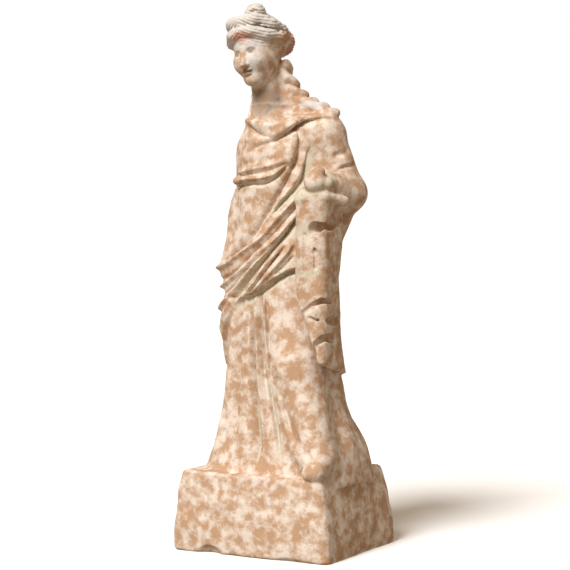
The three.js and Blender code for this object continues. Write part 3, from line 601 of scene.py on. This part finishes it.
def over(under, colour, share):
    node = nodes.new("ShaderNodeMix")
    node.data_type = "RGBA"
    links.new(share, node.inputs["Factor"])
    for socket, value in zip((node.inputs[6], node.inputs[7]), (under, colour)):
        if isinstance(value, tuple):
            socket.default_value = (*value, 1)
        else:
            links.new(value, socket)
    return node.outputs[2]


def broken(name, grain, gain):
    return ramp(maths("ADD", maths("MULTIPLY", left_on(name), gain), maths("SUBTRACT", grain, 0.5)), 0.25, 0.6)


cloudy, mottled, fine = noise(45, 4), noise(190, 6), noise(900, 5)
colour = over((0.63, 0.475, 0.375), (0.56, 0.385, 0.265), ramp(cloudy, 0.42, 0.68))
colour = over(colour, (0.67, 0.54, 0.45), ramp(mottled, 0.52, 0.72, 0, 0.6))
colour = over(colour, (0.50, 0.33, 0.215), ramp(fine, 0.56, 0.78, 0, 0.4))
# Hollows turned darker orange-brown: painted shade, with some dirt settled in them
colour = over(colour, (0.44, 0.265, 0.15), ramp(left_on("hollow_shade"), 0.12, 0.75, 0, 0.85))
# Paler ridges and edges: real wear, together with a painted highlight where ridges catch the light
colour = over(colour, (0.71, 0.61, 0.52), maths("MULTIPLY", ramp(left_on("worn_and_highlit"), 0.25, 0.7), ramp(mottled, 0.42, 0.6)))
colour = over(colour, (0.58, 0.52, 0.40), maths("MULTIPLY", broken("lime", mottled, 1), 0.85))
colour = over(colour, (0.62, 0.595, 0.56), maths("MULTIPLY", broken("slip", mottled, 1), 0.85))
colour = over(colour, (0.52, 0.235, 0.155), maths("MULTIPLY", broken("rust", mottled, 1), 0.75))
# Dark brown: soil in the eyes, mouth and behind the ear, and a painted shadow on the neck under the chin
colour = over(colour, (0.17, 0.10, 0.06), maths("MULTIPLY", broken("soil_and_shadow", mottled, 0.9), 0.75))
# Painted shade: dark flecks in the lime stand for the shade inside small pits
pit_shade = maths("MULTIPLY", ramp(fine, 0.6, 0.68), ramp(left_on("lime"), 0.2, 0.7, 0.06, 0.75))
colour = over(colour, (0.16, 0.11, 0.07), pit_shade)
links.new(colour, surface.inputs["Base Color"])
pitted = nodes.new("ShaderNodeBump")
pitted.inputs["Strength"].default_value = 0.5
pitted.inputs["Distance"].default_value = 0.0004
links.new(maths("ADD", fine, mottled), pitted.inputs["Height"])
links.new(pitted.outputs["Normal"], surface.inputs["Normal"])
mesh.materials.clear()
mesh.materials.append(fired_clay)

# ## The floor, light and camera
# A pale floor runs to the horizon under a white sky. One soft light from her right front, and warm dim light all round.

floor_mesh = bpy.data.meshes.new("pale_floor")
floor_mesh.from_pydata([(-60, -60, 0), (60, -60, 0), (60, 60, 0), (-60, 60, 0)], [], [(0, 1, 2, 3)])
floor = bpy.data.objects.new("pale_floor", floor_mesh)
bpy.context.collection.objects.link(floor)
floor.visible_diffuse = False
pale_paper = bpy.data.materials.new("pale_paper")
pale_paper.use_nodes = True
pale_paper.node_tree.nodes["Principled BSDF"].inputs["Base Color"].default_value = (0.95, 0.95, 0.95, 1)
pale_paper.node_tree.nodes["Principled BSDF"].inputs["Roughness"].default_value = 1
pale_paper.node_tree.nodes["Principled BSDF"].inputs["Specular IOR Level"].default_value = 0
floor_mesh.materials.append(pale_paper)

studio = bpy.data.worlds.new("studio")
bpy.context.scene.world = studio
studio.use_nodes = True
sky = studio.node_tree
sky.nodes["Background"].inputs["Color"].default_value = (1, 0.8, 0.6, 1)
sky.nodes["Background"].inputs["Strength"].default_value = 0.42
white_sky = sky.nodes.new("ShaderNodeBackground")
white_sky.inputs["Color"].default_value = (1, 1, 1, 1)
seen = sky.nodes.new("ShaderNodeLightPath")
choose = sky.nodes.new("ShaderNodeMixShader")
sky.links.new(seen.outputs["Is Camera Ray"], choose.inputs["Fac"])
sky.links.new(sky.nodes["Background"].outputs["Background"], choose.inputs[1])
sky.links.new(white_sky.outputs["Background"], choose.inputs[2])
sky.links.new(choose.outputs["Shader"], sky.nodes["World Output"].inputs["Surface"])
bpy.context.scene.view_settings.view_transform = "Standard"

AIM = Vector((0, 0, 0.1163))


def from_angle(azimuth, elevation, distance):
    around, up = math.radians(azimuth), math.radians(elevation)
    back = Vector((math.sin(around) * math.cos(up), -math.cos(around) * math.cos(up), math.sin(up)))
    return AIM + back * distance, (-back).to_track_quat("-Z", "Y").to_euler()


window = bpy.data.lights.new("window", "SUN")
window.energy = 3.9
window.angle = math.radians(22)
window_light = bpy.data.objects.new("window", window)
window_light.location, window_light.rotation_euler = from_angle(-4, 46, 1.0)
bpy.context.collection.objects.link(window_light)

lens = bpy.data.cameras.new("camera")
lens.lens = 120
lens.sensor_width = 36
lens.clip_start = 0.01
camera = bpy.data.objects.new("camera", lens)
camera.location, camera.rotation_euler = from_angle(29, 2.6, 0.843)
bpy.context.collection.objects.link(camera)
bpy.context.scene.camera = camera
